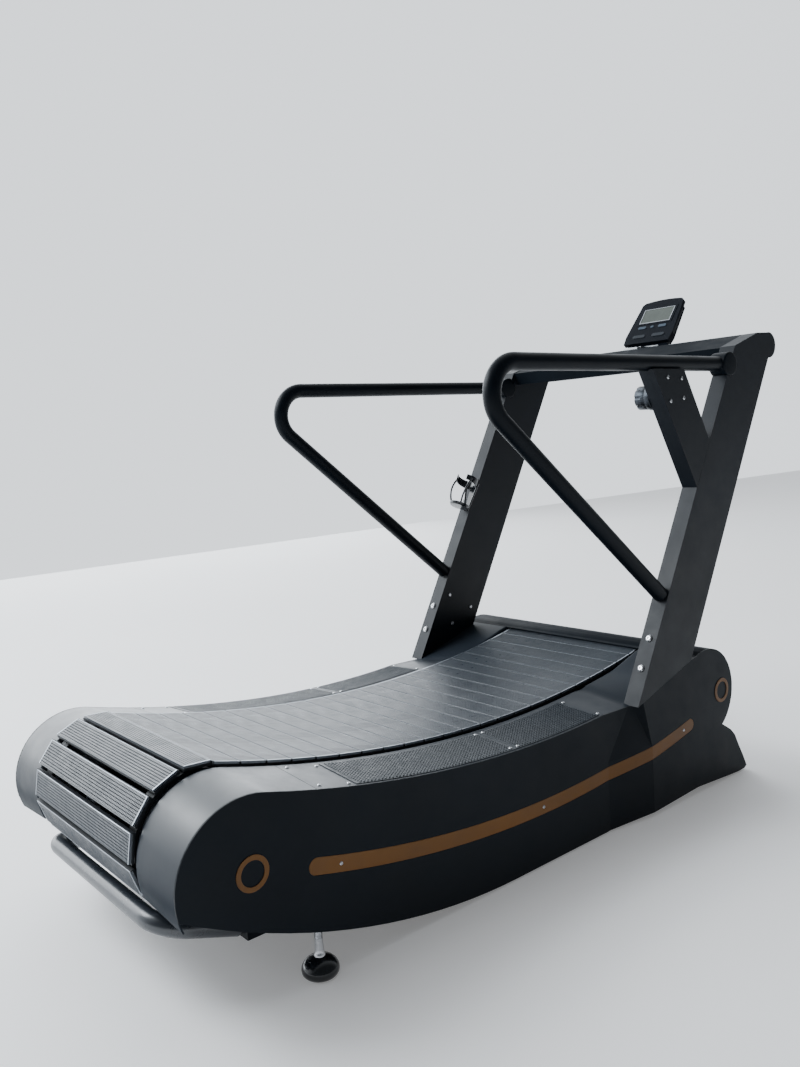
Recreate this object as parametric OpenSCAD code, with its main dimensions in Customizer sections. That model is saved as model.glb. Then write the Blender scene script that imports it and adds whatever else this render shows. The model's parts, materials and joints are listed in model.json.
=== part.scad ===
// Curved manual treadmill with slat belt, two uprights, side handrails and a small console.
// Units are millimetres. +X is the runner's right, +Y is forward, +Z is up, the floor is Z = 0.
// Side profiles are drawn as [forward, up] points and swept along X.

/* [Running belt] */
// Radius of the hollow running surface
belt_top_radius = 2800; // [2780:5:2820]
// Radius of the sagging return run
belt_return_radius = 2980; // [2960:5:3000]
// Radius over the slats at the rear end
rear_drum_radius = 140; // [138:1:142]
// Radius over the slats at the front end
front_drum_radius = 110; // [108:1:111]
// Number of slats on the belt
slat_count = 59; // [57:1:59]
// Where the first slat sits along the belt
belt_phase = 32; // [0:1:60]
// Slat length across the machine
slat_length = 492; // [486:2:494]
// Width of the aluminium slat bar along the belt
slat_width = 58; // [58:0.5:59]
// Width of the rubber tread along the belt
tread_width = 55; // [50:1:56]
// Thickness of the rubber tread
tread_thickness = 5; // [3:0.5:6]

/* [Covers] */
// Half width over the rear part of the side covers
cover_half_width = 407; // [406:0.5:408]
// Half width over the flared front part
flare_half_width = 432; // [432:1:434]
// Wall of the moulded side covers
cover_wall = 4; // [3:0.5:4]
// Wall of the sheet covers
sheet_wall = 3; // [2:0.5:3.5]
// Width of the accent stripe
stripe_width = 33; // [26:1:38]

/* [Uprights and rails] */
// Inner face of each upright from the centre line
upright_inner = 387; // [387:0.5:388]
// Outside diameter of the handrail tube
handrail_diameter = 40; // [34:1:42]
// Height of the level part of the handrail
handrail_height = 1152; // [1146:1:1156]
// Bend radius of the handrail corner
handrail_bend = 72; // [66:1:78]
// Diameter of the round end boss
boss_diameter = 66; // [60:1:70]
// Outside diameter of the rear transport bar
bar_diameter = 38; // [32:1:38]

/* [Console] */
// Lean of the console face from level
console_angle = 51.1; // [49:0.5:53]
// Thickness of the console housing
console_depth = 36; // [30:1:38]
// Key travel kept free under each key
key_travel = 1.5; // [1:0.25:2]

/* [Hidden] */
// Drawn with the floor footprint's middle at 0, then moved so the whole object is centred.
y_origin = 162;
big = 720;
round_fn = 96;

slat_height = 17;
rear_c = [-737, 281];
front_c = [680, 268];
r_rear = rear_drum_radius - slat_height;
r_front = front_drum_radius - slat_height;
r_top = belt_top_radius + slat_height;
r_return = belt_return_radius - slat_height;

// Point at distance a from p and b from q, on the left (s = 1) or right (s = -1) of p to q.
function meet(p, a, q, b, s) =
  let (d = norm(q - p), u = (q - p) / d, m = (a * a - b * b + d * d) / (2 * d),
       h = sqrt(a * a - m * m))
  p + m * u + s * h * [-u.y, u.x];

top_c = meet(rear_c, r_top + r_rear, front_c, r_top + r_front, 1);
return_c = meet(rear_c, r_return - r_rear, front_c, r_return - r_front, 1);

function heading(p, q) = atan2(q.y - p.y, q.x - p.x);

a_t0 = heading(top_c, rear_c);
a_t1 = heading(top_c, front_c);
a_b0 = heading(return_c, front_c);
a_b1 = heading(return_c, rear_c);
wrap_front = a_t1 + 180 - a_b0;
wrap_rear = 180 - a_t0 + a_b1;
len_top = r_top * (a_t1 - a_t0) * PI / 180;
len_front = r_front * wrap_front * PI / 180;
len_return = r_return * (a_b0 - a_b1) * PI / 180;
len_rear = r_rear * wrap_rear * PI / 180;
belt_length = len_top + len_front + len_return + len_rear;
pitch = belt_length / slat_count;

// [forward, up, outward direction] on the pitch line at distance s along the belt.
function arc_at(c, r, a, out) = [c.x + r * cos(a), c.y + r * sin(a), a + out];
function belt_at(s) =
  s < len_top ? arc_at(top_c, r_top, a_t0 + s / r_top * 180 / PI, 180) :
  s < len_top + len_front ?
    arc_at(front_c, r_front, a_t1 + 180 - (s - len_top) / r_front * 180 / PI, 0) :
  s < len_top + len_front + len_return ?
    arc_at(return_c, r_return, a_b0 - (s - len_top - len_front) / r_return * 180 / PI, 0) :
    arc_at(rear_c, r_rear, a_b1 - (s - len_top - len_front - len_return) / r_rear * 180 / PI, 0);
function belt_point(s, v) = let (p = belt_at(s)) [p.x + v * cos(p[2]), p.y + v * sin(p[2])];

// Stations along the belt: long steps on the two runs, short ones round the drums.
stations = concat(
  [for (i = [0:19]) len_top * i / 20],
  [for (i = [0:29]) len_top + len_front * i / 30],
  [for (i = [0:19]) len_top + len_front + len_return * i / 20],
  [for (i = [0:29]) len_top + len_front + len_return + len_rear * i / 30]);

step_r = r_top;
rear_round = [-727, 255.5];
rear_round_r = 145;
front_round = [688, 264];
front_round_r = 123;
belly_c = [-60, 1615];
belly_r = 1610;
tangent_dir = (top_c - rear_round) / norm(top_c - rear_round);
seam_y = -575;
shroud_y = 632;
stripe_c = [55, 2721];
stripe_r = 2580;
foot_at = [385, -583];
front_foot_at = [360, 740];
brake_pivot = [545, 195];
wheel_at = [822, 42];
knob_at = [554, 1068];
bar_at = [-845, 153];
bar_tilt = 20;
bar_leg = 275;
bar_bend = 60;
bar_end_y = -690;

roller_r = 20;
roller_y = [-560, -290, -20, 250, 520];
roller_drop = 6.4 + roller_r;
function roller_z(y) = top_c.y - sqrt(pow(r_top + roller_drop, 2) - pow(y - top_c.x, 2));

// Rear and front edges of an upright at height z.
function rear_edge(z) = 383 + 0.545 * (z - 315);
function front_edge(z) = 636 + 0.54 * (z - 415);
nose_c = [1048, 1205];
nose_r = 36;
lean = atan(0.545);
boss_at = [rear_edge(handrail_height - 2), handrail_height - 2];
bend_at = [2, handrail_height - handrail_bend];
rail_down = 39.6;
console_at = [1067, 1257];
hinge_local = [12, -40];
hinge_at = console_at + [hinge_local.x * cos(console_angle) - hinge_local.y * sin(console_angle),
  hinge_local.x * sin(console_angle) + hinge_local.y * cos(console_angle)];

ink = [0.07, 0.09, 0.13];
satin = [0.30, 0.33, 0.38];
steel = [0.62, 0.64, 0.66];
rubber = [0.11, 0.12, 0.13];
gold = [0.62, 0.42, 0.12];

// ---- helpers ----

module placed() translate([0, -y_origin, 0]) children();
module yz(x0, x1) translate([x0, 0, 0]) rotate([90, 0, 90]) linear_extrude(x1 - x0) children();
module rod(p, x0, x1, r, fn = round_fn)
  translate([x0, p.x, p.y]) rotate([0, 90, 0]) cylinder(r = r, h = x1 - x0, $fn = fn);
module both_sides() {
  children();
  mirror([1, 0, 0]) children();
}
module on_belt(s) {
  p = belt_at(s % belt_length);
  translate([0, p.x, p.y]) rotate([p[2] - 90, 0, 0]) children();
}

// ---- outlines of the covers ----

// Side outline of the body cover, taken in by i.
module cover_profile(i = 0) {
  start = rear_round.x + (rear_round_r - i) * tangent_dir.x;
  difference() {
    intersection() {
      union() {
        translate(rear_round) circle(rear_round_r - i, $fn = 240);
        translate([start, 0]) square([270 - start, 430]);
      }
      union() {
        translate(belly_c) circle(belly_r - i, $fn = big);
        translate([belly_c.x, 5 + i]) square([400, 500]);
      }
    }
    translate(top_c) circle(step_r + i, $fn = big);
  }
  polygon([[260, 5 + i], [262, 5 + i], [632, 19 + i], [786, 8 + i], [835, 5 + i],
    [870, 6 + i], [880 - i, 12 + i], [864 - i, 43], [842 - i, 79], [821 - i, 117],
    [799 - i, 138], [759 - i, 162], [745 - i, 174], [745 - i, 200], [688, 264],
    [688, 387 - i], [615, 373 - i], [373, 299.5 - i], [269, 302 - i], [260, 280 - i]]);
  translate(front_round) circle(front_round_r - i, $fn = 240);
}
module cover_ring(t) difference() {
  cover_profile(0);
  cover_profile(t);
}

// Space outside the flared side face; s moves the face inwards.
module outside_flare(s) {
  w = cover_half_width;
  f = flare_half_width;
  translate([-s, 0, 0]) {
    translate([0, 0, -10]) linear_extrude(190)
      polygon([[w, -900], [w, 280], [f, 430], [480, 430], [480, -900]]);
    hull() {
      translate([0, 0, 180]) linear_extrude(0.01)
        polygon([[w, -900], [w, 280], [f, 430], [480, 430], [480, -900]]);
      translate([0, 0, 310]) linear_extrude(0.01)
        polygon([[w, -900], [w, 376], [f, 396], [480, 396], [480, -900]]);
    }
    translate([0, 0, 310]) linear_extrude(120)
      polygon([[w, -900], [w, 376], [f, 396], [480, 396], [480, -900]]);
  }
}
module cover_solid(x0, i, s) difference() {
  yz(x0, flare_half_width - s) cover_profile(i);
  outside_flare(s);
}
module stripe_band(grow) {
  half = stripe_width / 2 + grow;
  a0 = heading(stripe_c, [-590, stripe_c.y - sqrt(stripe_r * stripe_r - 645 * 645)]);
  a1 = heading(stripe_c, [600, stripe_c.y - sqrt(stripe_r * stripe_r - 545 * 545)]);
  intersection() {
    difference() {
      translate(stripe_c) circle(stripe_r + half, $fn = big);
      translate(stripe_c) circle(stripe_r - half, $fn = big);
    }
    polygon([stripe_c, stripe_c + 3000 * [cos(a0), sin(a0)], stripe_c + 3000 * [cos(a1), sin(a1)]]);
  }
  for (a = [a0, a1]) translate(stripe_c + stripe_r * [cos(a), sin(a)]) circle(half, $fn = 64);
}

module side_cover() color(ink) placed() difference() {
  cover_solid(312, 0, 0);
  cover_solid(300, cover_wall, cover_wall);
  translate([300, -900, 190]) cube([cover_half_width - cover_wall - 300, 900 + shroud_y, 230]);
  translate([300, shroud_y, 174]) cube([flare_half_width - cover_wall - 300, 300, 240]);
  translate([foot_at.x, foot_at.y, 60]) cylinder(r = 16, h = 80, $fn = 64);
  translate([front_foot_at.x, front_foot_at.y, -5]) cylinder(r = 31, h = 40, $fn = 64);
  difference() {
    yz(400, 440) stripe_band(1);
    difference() {
      yz(390, flare_half_width - 2) cover_profile(-1);
      outside_flare(2);
    }
  }
}
module accent_stripe() color(gold) placed() intersection() {
  yz(400, 440) stripe_band(0);
  difference() {
    yz(395, flare_half_width - 0.3) cover_profile(0);
    outside_flare(0.3);
  }
  difference() {
    translate([395, -700, 60]) cube([60, 1400, 260]);
    difference() {
      translate([390, -710, 50]) cube([flare_half_width - 2 - 390, 1420, 280]);
      outside_flare(2);
    }
  }
}
module rear_wrap() color(satin) placed() {
  difference() {
    yz(256, cover_half_width - cover_wall - 0.3) intersection() {
      cover_ring(sheet_wall);
      translate([-900, 197]) square([900 + seam_y - 0.5, 240]);
    }
  }
  yz(252.5, 256) difference() {
    intersection() {
      cover_profile(0);
      translate([-900, 140]) square([900 + seam_y - 0.5, 300]);
    }
    translate(rear_c) circle(22, $fn = 64);
  }
}
module step_plate() color(satin) placed() difference() {
  union() {
    yz(256, cover_half_width - cover_wall - 0.3) intersection() {
      cover_ring(sheet_wall + 0.5);
      translate([seam_y + 0.5, 190]) square([shroud_y - 1 - seam_y, 230]);
    }
    yz(256, 259) intersection() {
      cover_ring(17);
      translate([seam_y + 0.5, 190]) square([shroud_y - 1 - seam_y, 230]);
    }
  }
  translate([upright_inner - 0.5, 330, 200]) cube([60, 290, 200]);
}
// One rubber pad: a thin curved sheet with raised ribs across it.
module pad_block(y0, y1) {
  n = floor((y1 - y0 - 10) / 10);
  edge = (y1 - y0 - n * 10) / 2;
  function at(y, v) = top_c + (step_r - v) * [(y - top_c.x) / step_r, -cos(asin((y - top_c.x) / step_r))];
  yz(272, 398) polygon(concat(
    [at(y0, 0), at(y0, 1.4)],
    [for (k = [0:n - 1]) each [at(y0 + edge + k * 10 + 2.4, 1.4), at(y0 + edge + k * 10 + 3, 2.6),
      at(y0 + edge + k * 10 + 7, 2.6), at(y0 + edge + k * 10 + 7.6, 1.4)]],
    [for (k = [12:-1:0]) at(y0 + (y1 - y0) * k / 12, k == 12 ? 1.4 : 0), at(y0, 0)]));
}
module step_pads() color(rubber) placed() {
  pad_block(-480, -33);
  pad_block(-31, 262);
}
module front_shroud() color(ink) placed()
  yz(-flare_half_width + cover_wall + 0.5, flare_half_width - cover_wall - 0.5) intersection() {
    cover_ring(sheet_wall);
    union() {
      translate([shroud_y + 0.5, 300]) square([260, 120]);
      translate([700, 174.5]) square([200, 230]);
    }
  }
module trim_rings() color(gold) placed() both_sides() {
  difference() {
    rod([-724, 258], cover_half_width, cover_half_width + 1.6, 33.5);
    rod([-724, 258], cover_half_width - 1, cover_half_width + 2, 24);
  }
  difference() {
    rod([756, 260], flare_half_width, flare_half_width + 1.6, 33.5);
    rod([756, 260], flare_half_width - 1, flare_half_width + 2, 24);
  }
}

// ---- frame ----

// Rail outline: a constant gap under the step surface above, a sagging arc below.
function cover_top(y) =
  y < -688 ? rear_round.y + sqrt(pow(rear_round_r, 2) - pow(y - rear_round.x, 2)) :
  y < 270 ? top_c.y - sqrt(pow(step_r, 2) - pow(y - top_c.x, 2)) :
  y < 373 ? 302 - (y - 270) * 0.025 :
  y < 615 ? 299.5 + (y - 373) * 73.5 / 242 :
  y < 688 ? 373 + (y - 615) * 14 / 73 :
  front_round.y + sqrt(pow(front_round_r, 2) - pow(y - front_round.x, 2));
function rail_low(y) = 3040 - sqrt(2940 * 2940 - pow(y + 64, 2));
rail_y = concat([-796, -780, -755, -727], [for (i = [0:20]) -690 + i * 48], [373, 430, 520, 615,
  688, 720, 745]);
module rail_band(a, b) polygon(concat(
  [for (y = rail_y) [y, a(y)]],
  [for (i = [len(rail_y) - 1:-1:0]) [rail_y[i], b(rail_y[i])]]));
module rail() color(ink) placed() {
  difference() {
    yz(262, 270) rail_band(function(y) cover_top(y) - 11, function(y) rail_low(y));
    for (y = roller_y) rod([y, roller_z(y)], 250, 280, 8.05);
    rod(rear_c, 250, 280, 20);
    rod(front_c, 250, 280, 20);
    for (y = [-600, -300, 0, 300, 560]) rod([y, 212 + abs(y) * 0.05], 250, 280, 24);
  }
  difference() {
    yz(269.9, 310) {
      rail_band(function(y) cover_top(y) - 12, function(y) cover_top(y) - 52);
      rail_band(function(y) rail_low(y) + 40, function(y) rail_low(y) + 1);
      for (y = [-450, -150, 150, 430])
        translate([y - 20, rail_low(y) + 30]) square([40, cover_top(y) - rail_low(y) - 70]);
    }
    yz(273, 307) {
      rail_band(function(y) cover_top(y) - 15, function(y) cover_top(y) - 49);
      rail_band(function(y) rail_low(y) + 37, function(y) rail_low(y) + 4);
      for (y = [-450, -150, 150, 430])
        translate([y - 17, rail_low(y) + 44]) square([34, cover_top(y) - rail_low(y) - 100]);
    }
    rod(rear_c, 262, 320, 20);
    rod(front_c, 262, 320, 20);
  }
  // bearing seats at both ends
  for (c = [rear_c, front_c]) difference() {
    translate([304, c.x - 38, c.y - 60]) cube([6, 76, 106]);
    rod(c, 262, 320, 20);
  }
  // front leg, foot block and the seat of the upright
  translate([262, 700, 60]) cube([48, 45, 150]);
  translate([262, 700, 16]) cube([48, 80, 44]);
  translate([309.9, 733, 16]) cube([78.1, 47, 44]);
  translate([309.9, 400, 180]) cube([upright_inner - 309.9, 70, 90]);
  // outrigger of the levelling foot, drilled for its stem
  difference() {
    translate([270.1, foot_at.y - 30, 112]) cube([126, 60, 40]);
    translate([foot_at.x, foot_at.y, 100]) cylinder(r = 8.05, h = 60, $fn = 64);
  }
  // hanger of the rear cross tube and stub axle of the brake arm
  translate([270.1, bar_end_y, 79]) cube([38, 40, 103]);
  rod(brake_pivot, 309, 356, 6);
}
module cross_members() color(ink) placed() {
  for (m = [[-450, 200], [-150, 185], [150, 185], [430, 210]])
    translate([-262, m.x - 25, m.y - 25]) difference() {
      cube([524, 50, 50]);
      translate([-1, 3, 3]) cube([526, 44, 44]);
    }
  translate([-262, 700, 60]) difference() {
    cube([524, 50, 55]);
    translate([-1, 3, 3]) cube([526, 44, 49]);
  }
  translate([-270, bar_end_y, 79]) difference() {
    cube([540, 40, 36]);
    translate([-1, 3, 3]) cube([542, 34, 30]);
  }
}
module wheel_fork() {
  for (x = [268, 302]) translate([x, 780, 18]) cube([4, 54, 40]);
  rod(wheel_at, 266, 308, 5);
}
module wheel_brackets() color(steel) placed() both_sides() wheel_fork();
module transport_wheel() color(rubber) placed() difference() {
  union() {
    rod(wheel_at, 275, 299, 32);
    rod(wheel_at, 273, 301, 12);
  }
  rod(wheel_at, 270, 304, 5.05);
}
module front_feet() color(rubber) placed() both_sides()
  translate([front_foot_at.x, front_foot_at.y, 0]) {
    cylinder(r1 = 26, r2 = 28, h = 4, $fn = 64);
    translate([0, 0, 4]) cylinder(r = 28, h = 12, $fn = 64);
  }
module levelling_foot() color(rubber) placed() translate([foot_at.x, foot_at.y, 0]) {
  cylinder(r = 36, h = 4, $fn = 96);
  translate([0, 0, 4]) cylinder(r1 = 37.5, r2 = 35, h = 9, $fn = 96);
  translate([0, 0, 13]) cylinder(r1 = 35, r2 = 22, h = 14, $fn = 96);
  translate([0, 0, 27]) cylinder(r1 = 22, r2 = 9, h = 9, $fn = 96);
  translate([0, 0, 36]) cylinder(r1 = 6, r2 = 8, h = 40, $fn = 64);
  translate([0, 0, 76]) cylinder(r = 8, h = 84, $fn = 64);
}
module foot_nuts() color(steel) placed() both_sides()
  translate([foot_at.x, foot_at.y, 103]) difference() {
    cylinder(r = 14, h = 9, $fn = 6);
    translate([0, 0, -1]) cylinder(r = 8.05, h = 12, $fn = 64);
  }
module bar_run(r) translate([0, bar_at.x, bar_at.y]) rotate([-bar_tilt, 0, 0]) {
  leg = (bar_end_y - bar_at.x) / cos(bar_tilt);
  translate([-bar_leg + bar_bend, 0, 0]) rotate([0, 90, 0])
    cylinder(r = r, h = 2 * (bar_leg - bar_bend), $fn = round_fn);
  both_sides() {
    translate([bar_leg - bar_bend, bar_bend, 0]) rotate([0, 0, -90])
      rotate_extrude(angle = 90, $fn = round_fn) translate([bar_bend, 0]) circle(r, $fn = 64);
    translate([bar_leg, bar_bend, 0]) rotate([-90, 0, 0])
      cylinder(r = r, h = leg - bar_bend + 20, $fn = round_fn);
  }
}
module transport_bar() color(satin) placed() difference() {
  bar_run(bar_diameter / 2);
  bar_run(bar_diameter / 2 - 2.5);
  translate([-400, bar_end_y, 0]) cube([800, 80, 200]);
}

// ---- belt and rollers ----

module belt_loop(v0, v1) difference() {
  polygon([for (s = stations) belt_point(s, v1)]);
  polygon([for (s = stations) belt_point(s, v0)]);
}
module drive_belts() color(rubber) placed() both_sides() yz(200, 230) belt_loop(-6, 1.6);
module slat_bars() color(steel) placed() {
  h = slat_length / 2;
  t = slat_height - tread_thickness;
  for (i = [0:slat_count - 1]) on_belt(i * pitch + belt_phase) {
    yz(-h, h) polygon([[-slat_width / 2, t - 4], [slat_width / 2, t - 4],
      [slat_width / 2, slat_height - 0.8], [tread_width / 2 + 0.2, slat_height - 0.8],
      [tread_width / 2 + 0.2, t], [-slat_width / 2, t]]);
    translate([-190, -2.5, -12]) cube([380, 5, t + 9]);
    both_sides() translate([201, -12, 2]) cube([28, 24, t - 5]);
  }
}
module slat_treads() color(rubber) placed() {
  h = slat_length / 2 - 3;
  w = tread_width / 2;
  t = slat_height;
  for (i = [0:slat_count - 1]) on_belt(i * pitch + belt_phase)
    yz(-h, h) polygon([[-w, t - tread_thickness], [w, t - tread_thickness], [w, t - 1],
      [w - 1, t], [1 - w, t], [-w, t - 1]]);
}
module pulley(c, r) both_sides() difference() {
  rod(c, 198, 232, r, 180);
  rod(c, 197, 233, 12.5);
  for (a = [30:60:330]) rod(c + r * 0.56 * [cos(a), sin(a)], 197, 233, r * 0.18);
}
module rear_pulleys() color(steel) placed() pulley(rear_c, r_rear - 6.4);
module front_pulleys() color(steel) placed() pulley(front_c, r_front - 6.4);
module rear_shaft() color(steel) placed() rod(rear_c, -336, 336, 12.5);
module front_shaft() color(steel) placed() rod(front_c, -336, 366, 12.5);
module flywheel() color(steel) placed() difference() {
  union() {
    rod(front_c, 325, 345, 100, 180);
    rod(front_c, 338, 360, 28);
  }
  rod(front_c, 320, 366, 12.5);
  for (a = [0:60:300]) rod(front_c + 60 * [cos(a), sin(a)], 320, 366, 14);
}
module bearing_housings() color(ink) placed() both_sides() for (c = [rear_c, front_c])
  difference() {
    translate([310, c.x - 34, c.y - 34]) cube([13, 68, 68]);
    rod(c, 309, 324, 12.55);
  }
module guide_roller(n) color(steel) placed() {
  p = [roller_y[n - 1], roller_z(roller_y[n - 1])];
  rod(p, -269.5, 269.5, 8);
  both_sides() rod(p, 202, 228, roller_r);
}
module brake_arm() color(steel) placed() {
  p = brake_pivot;
  difference() {
    for (x = [314, 350]) yz(x, x + 5) polygon([[p.x - 14, p.y - 14], [p.x + 14, p.y - 14],
      [p.x + 14, p.y + 10], [600, 235], [604, 296], [536, 304], [p.x - 14, p.y + 10]]);
    rod(p, 300, 370, 6.05);
  }
  translate([319, 536, 232]) cube([31, 14, 66]);
  for (x = [319, 347.5]) translate([x, 588, 244]) cube([3, 12, 46]);
}

// ---- uprights and handrails ----

module upright_outline() {
  polygon([[rear_edge(300), 300], [rear_edge(1200), 1200], [985, 1238], [1040, 1240], nose_c,
    [1043, 1168], [front_edge(1150), 1150], [613.2, 372.8]]);
  translate(nose_c) circle(nose_r, $fn = 120);
}
module upright_core() polygon([[360, 270], [rear_edge(1190) + 5, 1190], [985, 1230],
  [1030, 1220], [1030, 1168], [front_edge(1150) - 5, 1150], [560, 280]]);
module upright() {
  difference() {
    yz(upright_inner, flare_half_width) upright_outline();
    yz(upright_inner + 3, flare_half_width - 3) intersection() {
      upright_core();
      polygon([[rear_edge(290) + 5, 290], [rear_edge(1190) + 5, 1190], [1100, 1300],
        [front_edge(1150) - 5, 1150], [front_edge(290) - 5, 290]]);
    }
    rod(boss_at, 380, 440, boss_diameter / 2 + 0.2);
  }
  yz(upright_inner, cover_half_width - cover_wall - 1) polygon([[rear_edge(190), 190],
    [rear_edge(310), 310], [380, 301], [front_edge(330) - 4, 345], [front_edge(310) - 4, 310],
    [front_edge(190), 190]]);
}
module upright_right() color(ink) placed() upright();
module upright_left() color(ink) placed() mirror([1, 0, 0]) upright();
module brace_arm() color(ink) placed() difference() {
  yz(upright_inner, flare_half_width) polygon([[rear_edge(827) - 0.3, 827], [480, 1136],
    [616, 1136], [rear_edge(948) - 0.3, 948]]);
  yz(upright_inner + 3, flare_half_width - 3) polygon([[rear_edge(840) - 1, 843], [488, 1130],
    [610, 1130], [rear_edge(944) - 4, 944]]);
  translate([handrail_x(), 0, handrail_height]) rotate([-90, 0, 0])
    cylinder(r = handrail_diameter / 2 + 0.05, h = 800, $fn = round_fn);
  rod(knob_at, 380, 400, 7);
}
function handrail_x() = (upright_inner + flare_half_width) / 2;
module beam_body(x, i) {
  yz(-x, x) polygon([[880 + i, 1160 + i], [866 + i, 1198 - i], [985 + i * 0.3, 1238 - i],
    [1040, 1240 - i], [1056, 1205], [1050, 1175 + i]]);
  rod(nose_c, -x, x, nose_r - i, 120);
}
module crossbeam() color(ink) placed() difference() {
  beam_body(upright_inner - 0.2, 0);
  beam_body(upright_inner + 1, 4);
}
module tube_run(r) translate([handrail_x(), 0, 0]) {
  end_a = 270 - rail_down;
  translate([0, bend_at.x, handrail_height]) rotate([-90, 0, 0])
    cylinder(r = r, h = boss_at.x - bend_at.x, $fn = round_fn);
  translate([0, bend_at.x, bend_at.y]) rotate([90, 0, 90])
    rotate([0, 0, 90]) rotate_extrude(angle = end_a - 90, $fn = 180)
      translate([handrail_bend, 0]) circle(r, $fn = 64);
  translate([0, bend_at.x + handrail_bend * cos(end_a), bend_at.y + handrail_bend * sin(end_a)])
    rotate([-90 - rail_down, 0, 0]) cylinder(r = r, h = 760, $fn = round_fn);
}
module handrail() {
  difference() {
    tube_run(handrail_diameter / 2);
    tube_run(handrail_diameter / 2 - 2.5);
    yz(370, 450) polygon([[rear_edge(290), 290], [rear_edge(830), 830], [1400, 830], [1400, 290]]);
  }
  rod(boss_at, 384.5, 434.5, boss_diameter / 2);
}
module handrail_right() color(ink) placed() handrail();
module handrail_left() color(ink) placed() mirror([1, 0, 0]) handrail();
module resistance_housing() color(ink) placed() difference() {
  rod(knob_at, 372, upright_inner - 0.05, 33);
  rod(knob_at, 365, 400, 6.05);
}
module resistance_knob() color(rubber) placed() {
  difference() {
    rod(knob_at, 343, 371.6, 31);
    for (a = [0:45:315]) rod(knob_at + 37 * [cos(a), sin(a)], 340, 360, 8);
    rod(knob_at, 340, 347, 17);
  }
  rod(knob_at, 346, 384, 6);
}
module bottle_cage() color(ink) placed()
  translate([-398, rear_edge(800), 800]) rotate([-lean, 0, 0]) {
    translate([-9, -5, -58]) cube([18, 4.8, 116]);
    for (z = [-58, -6, 42]) translate([0, -39, z]) difference() {
      cylinder(r = 36, h = 8, $fn = 96);
      translate([0, 0, -1]) cylinder(r = 33, h = 10, $fn = 96);
      if (z > -58) translate([-22, -60, -1]) cube([44, 40, 10]);
    }
    translate([0, -39, -58]) cylinder(r = 36, h = 3.5, $fn = 96);
    for (x = [-36, 32]) translate([x, -47, -58]) cube([4, 16, 108]);
  }

// ---- console ----

module console_frame() translate([0, console_at.x, console_at.y])
  rotate([console_angle, 0, 0]) children();
module console_outline(i) {
  intersection() {
    polygon([[-84 + i, 8 + i], [84 - i, 8 + i], [88 - i, 40], [77 - i, 176], [60, 192],
      [-60, 192], [-77 + i, 176], [-88 + i, 40]]);
    translate([0, -210]) circle(400 - i, $fn = 240);
  }
}
module key_shape(g, kx, ky, w, h) translate([kx, ky]) {
  square([w - h, h + 2 * g], center = true);
  for (x = [-1, 1]) translate([x * (w - h) / 2, 0]) circle(h / 2 + g, $fn = 48);
}
keys = [[-38, 73, 30, 10], [0, 73, 12, 8], [38, 73, 30, 10], [-36, 36, 46, 12], [36, 36, 46, 12]];
module key(n) color(satin) placed() console_frame() translate([0, 0, -4.5])
  linear_extrude(6) key_shape(0, keys[n][0], keys[n][1], keys[n][2], keys[n][3]);
module console_housing() color(ink) placed() console_frame() difference() {
  union() {
    translate([0, 0, -14]) linear_extrude(14) console_outline(0);
    translate([0, 0, -console_depth]) linear_extrude(console_depth - 13) console_outline(12);
    translate([-17.5, hinge_local.x, hinge_local.y]) rotate([0, 90, 0])
      cylinder(r = 9, h = 35, $fn = 64);
    translate([-17.5, hinge_local.x - 9, hinge_local.y]) cube([35, 18, 20]);
  }
  translate([-66, 86, -4]) cube([132, 72, 5]);
  for (k = keys) translate([0, 0, -4.5 - key_travel]) linear_extrude(20)
    key_shape(0.3, k[0], k[1], k[2], k[3]);
  translate([-30, hinge_local.x, hinge_local.y]) rotate([0, 90, 0])
    cylinder(r = 4.05, h = 60, $fn = 64);
}
module console_bezel() color(steel) placed() console_frame() difference() {
  translate([-66, 86, -4]) cube([132, 72, 5.2]);
  translate([-57, 92, -2]) cube([114, 60, 5]);
}
module console_lens() color([0.45, 0.52, 0.48]) placed() console_frame()
  translate([-57, 92, -2]) cube([114, 60, 2.2]);
module console_bracket() color(steel) placed() {
  difference() {
    union() {
      for (x = [-26, 18]) {
        yz(x, x + 8) polygon([[1010, 1230], [1010, 1246], [hinge_at.x - 3, hinge_at.y + 5],
          [hinge_at.x + 5, hinge_at.y - 4], [1070, 1215]]);
        rod(hinge_at, x, x + 8, 8);
      }
      yz(-26, 26) polygon([[990, 1230], [990, 1244], [1036, 1246], [1036, 1230]]);
    }
    beam_body(40, 0);
  }
  rod(hinge_at, -26, 26, 4);
}

// ---- fasteners ----

// Button head with a hex socket, its seat at z = 0.
module button(r, h) difference() {
  union() {
    cylinder(r = r, h = h * 0.5, $fn = 32);
    translate([0, 0, h * 0.5]) cylinder(r1 = r, r2 = r * 0.6, h = h * 0.5, $fn = 32);
  }
  translate([0, 0, h * 0.5]) cylinder(r = r * 0.38, h = h, $fn = 6);
}
module side_button(x, y, z, r, h) translate([x, y, z]) rotate([0, 90, 0]) button(r, h);
module on_step(y) {
  a = asin((y - top_c.x) / step_r);
  translate([0, top_c.x, top_c.y]) rotate([a, 0, 0]) translate([0, 0, -step_r]) children();
}
module frame_bolts() color(steel) placed() {
  both_sides() {
    for (z = [387, 457]) translate([410, rear_edge(z), z]) rotate([90 - lean, 0, 0]) button(9, 5);
    for (p = [[513, 487], [604, 433], [518, 392]]) translate([upright_inner, p.x, p.y])
      rotate([0, -90, 0]) button(6, 3);
  }
  for (p = [[543, 1115], [604, 1112], [553, 1055], [611, 1062]])
    side_button(flare_half_width, p.x, p.y, 5, 2.5);
}
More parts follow.
